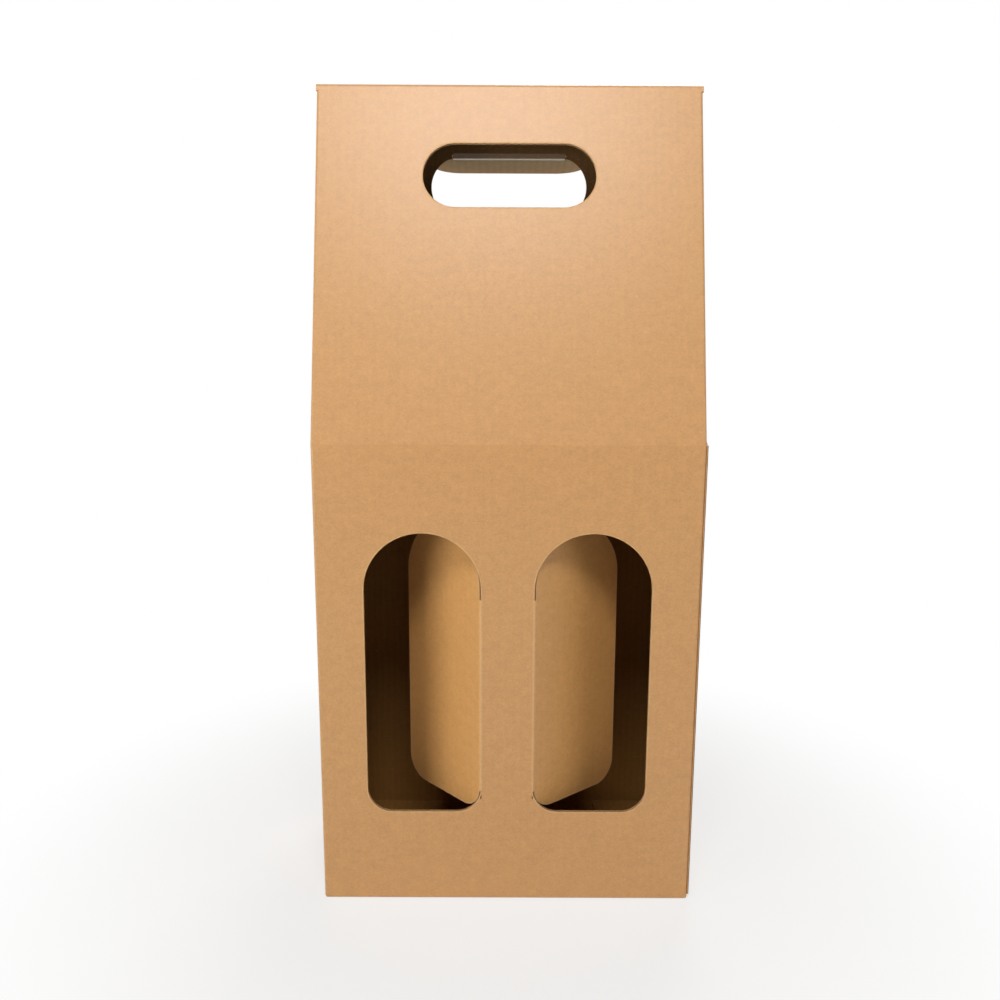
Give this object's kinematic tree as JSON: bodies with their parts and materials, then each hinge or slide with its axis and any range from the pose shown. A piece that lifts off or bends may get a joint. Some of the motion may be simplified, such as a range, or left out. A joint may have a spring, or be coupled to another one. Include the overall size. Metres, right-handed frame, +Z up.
{
  "type": "cardboard bottle carrier",
  "caption": "Upright folded board carrier for bottles, with leaning upper walls, a hand hole and arched windows whose cut-outs swing inwards.",
  "frame": {"origin": "on the floor, under the middle of the outer box", "axes": "+Z up, the windows face -Y, +X to the right of someone looking at the windows"},
  "size_m": [0.1818, 0.095, 0.391],
  "materials": {
    "kraft_board": "matte"
  },
  "bodies": {
    "carrier": {"carrier": "kraft_board"},
    "left_window_flap": {"left_window_flap": "kraft_board"},
    "right_window_flap": {"right_window_flap": "kraft_board"},
    "handle_flap": {"handle_flap": "kraft_board"}
  },
  "joints": [
    {"name": "left_window_hinge", "type": "hinge", "parent": "carrier", "child": "left_window_flap", "pos_m": [-0.01305, -0.04675, 0.10585], "axis": [0, 0, 1], "range_deg": [-53, 47]},
    {"name": "right_window_hinge", "type": "hinge", "parent": "carrier", "child": "right_window_flap", "pos_m": [0.01195, -0.04675, 0.10585], "axis": [0, 0, 1], "range_deg": [-39, 61]},
    {"name": "handle_flap_hinge", "type": "hinge", "parent": "carrier", "child": "handle_flap", "pos_m": [-0.00055, 0.01081, 0.36179], "axis": [1, 0, 0], "range_deg": [-72, 18]}
  ]
}
